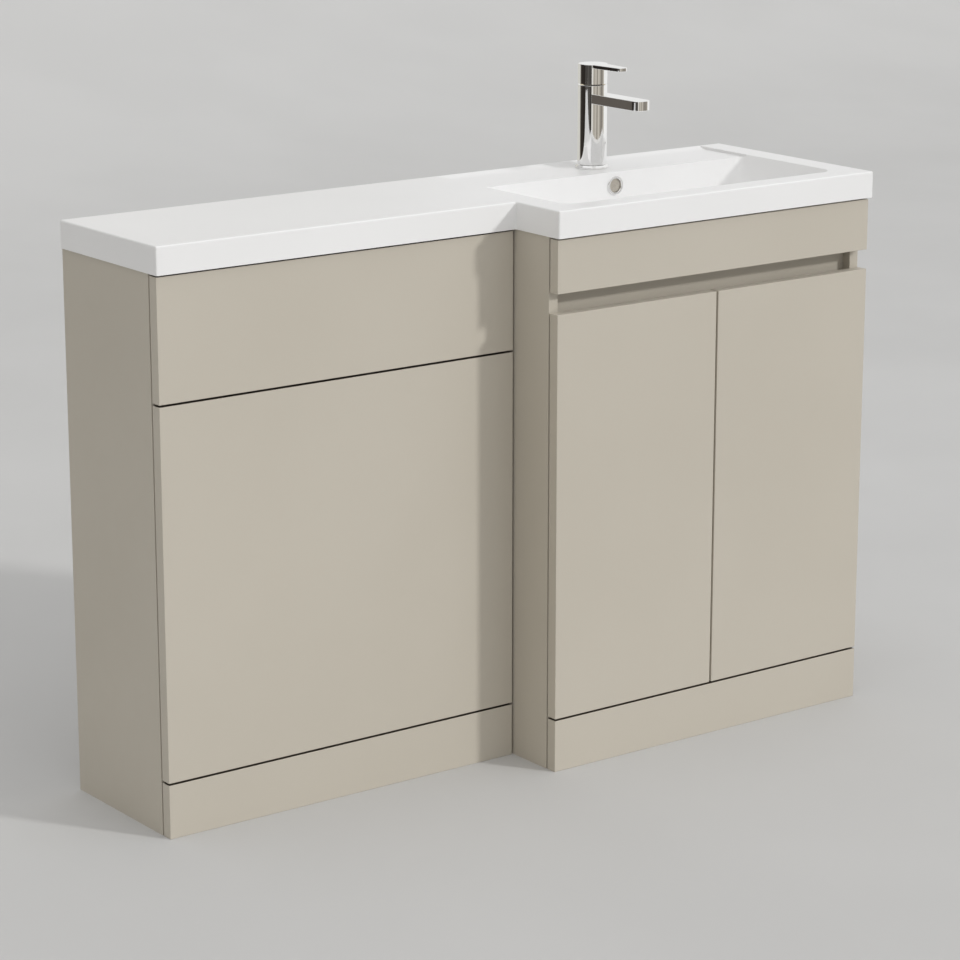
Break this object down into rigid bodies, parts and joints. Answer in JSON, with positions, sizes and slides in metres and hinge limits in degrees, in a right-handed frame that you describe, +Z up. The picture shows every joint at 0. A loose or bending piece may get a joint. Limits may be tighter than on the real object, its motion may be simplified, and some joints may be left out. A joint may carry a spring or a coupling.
{
  "type": "vanity unit",
  "caption": "Vanity and cistern cabinet run: slim left unit, deeper right cupboard with doors, one cast top with a rectangular bowl and a lever mixer tap.",
  "frame": {"origin": "on the floor, in the middle of the unit's width and depth", "axes": "+Z up, +Y towards the wall, +X along the wall towards the cupboard with the bowl"},
  "size_m": [1.206, 0.36, 0.996],
  "materials": {
    "matt_lacquer": "matt lacquer",
    "melamine_board": "matt",
    "beech": "plain",
    "cast_resin": "gel coat",
    "chrome": "polished",
    "bright_steel": "plated",
    "brass": "turned",
    "white_plastic": "moulded",
    "black_rubber": "matt"
  },
  "bodies": {
    "cabinet": {"wc_top_back_rail": "melamine_board", "wc_top_front_rail": "melamine_board", "wc_middle_rail": "melamine_board", "wc_bottom_rail": "melamine_board", "vanity_top_back_rail": "melamine_board", "vanity_bottom_back_rail": "melamine_board", "vanity_base": "melamine_board", "finger_rail": "matt_lacquer", "carcass_dowels": "beech", "connector_sleeves": "bright_steel", "connector_screws": "bright_steel", "vanity_shelf": "melamine_board", "shelf_pins": "bright_steel", "fascia_blocks": "beech", "plinth_blocks": "beech", "wc_plinth": "matt_lacquer", "wc_lower_panel": "matt_lacquer", "vanity_plinth": "matt_lacquer", "vanity_fascia": "matt_lacquer", "panel_sockets": "white_plastic", "hinge_arms": "bright_steel", "hinge_plates": "bright_steel", "hinge_screws": "bright_steel", "wc_left_side": "matt_lacquer", "wc_right_side": "matt_lacquer", "vanity_left_side": "matt_lacquer", "vanity_right_side": "matt_lacquer", "basin_top": "cast_resin", "overflow_ring": "chrome", "overflow_channel": "white_plastic", "waste_washers": "black_rubber", "waste_nut": "white_plastic", "waste_body": "chrome", "tap_base_ring": "chrome", "tap_body": "chrome", "aerator": "chrome", "cartridge": "white_plastic", "cartridge_nut": "brass", "tap_stud": "bright_steel", "tap_seals": "black_rubber", "tap_clamp_washer": "bright_steel", "tap_stud_nut": "bright_steel"},
    "left_door": {"left_door": "matt_lacquer", "left_hinge_cups": "bright_steel", "left_hinge_pins": "bright_steel", "left_cup_screws": "bright_steel"},
    "right_door": {"right_door": "matt_lacquer", "right_hinge_cups": "bright_steel", "right_hinge_pins": "bright_steel", "right_cup_screws": "bright_steel"},
    "lever_carrier": {"cartridge_carrier": "white_plastic", "lever_pivot_pin": "bright_steel"},
    "lever": {"tap_handle": "chrome", "lever_stem": "brass", "grub_screw": "bright_steel"},
    "plug": {"waste_plug": "chrome"},
    "access_panel": {"wc_upper_panel": "matt_lacquer", "panel_studs": "white_plastic"}
  },
  "joints": [
    {"name": "left_door_swing", "type": "hinge", "parent": "cabinet", "child": "left_door", "pos_m": [0.0065, -0.166, 0.3855], "axis": [0, 0, -1], "range_deg": [0, 95]},
    {"name": "right_door_swing", "type": "hinge", "parent": "cabinet", "child": "right_door", "pos_m": [0.5935, -0.166, 0.3855], "axis": [0, 0, 1], "range_deg": [0, 95]},
    {"name": "lever_swing", "type": "hinge", "parent": "cabinet", "child": "lever_carrier", "pos_m": [0.3, 0.127, 0.957], "axis": [0, 0, 1], "range_deg": [-45, 45]},
    {"name": "lever_lift", "type": "hinge", "parent": "lever_carrier", "child": "lever", "pos_m": [0.3, 0.136, 0.971], "axis": [-1, 0, 0], "range_deg": [0, 20]},
    {"name": "plug_lift", "type": "slide", "parent": "cabinet", "child": "plug", "axis": [0, 0, 1], "range_m": [0, 0.008]},
    {"name": "access_panel_pull", "type": "slide", "parent": "cabinet", "child": "access_panel", "axis": [0, -1, 0], "range_m": [0, 0.015]}
  ]
}
